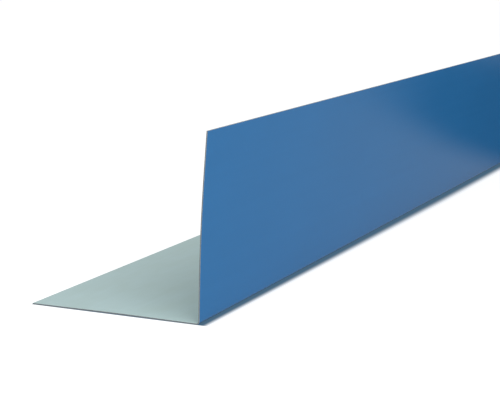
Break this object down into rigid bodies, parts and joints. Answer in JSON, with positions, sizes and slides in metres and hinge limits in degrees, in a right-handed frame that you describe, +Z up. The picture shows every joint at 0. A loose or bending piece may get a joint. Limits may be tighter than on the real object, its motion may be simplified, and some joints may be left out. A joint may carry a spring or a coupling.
{
  "type": "corner flashing",
  "caption": "Long right-angle corner flashing folded from one strip of prepainted steel sheet, blue outside with a grey-green backing coat inside.",
  "frame": {"origin": "on the underside of the level leg, halfway along the length and halfway between the leg's free edge and the outer corner of the fold", "axes": "+Y along the length, +Z up, -X towards the free edge of the level leg; the upright leg stands at +X with its painted face towards +X"},
  "size_m": [0.1047, 2, 0.0999],
  "materials": {
    "outer_paint": "semi-gloss blue coil coating on the outer face; the inner face has a satin grey-green backing coat and the sheared edges show bare zinc-coated steel"
  },
  "bodies": {
    "root": {"folded_sheet": "outer_paint"}
  },
  "joints": []
}
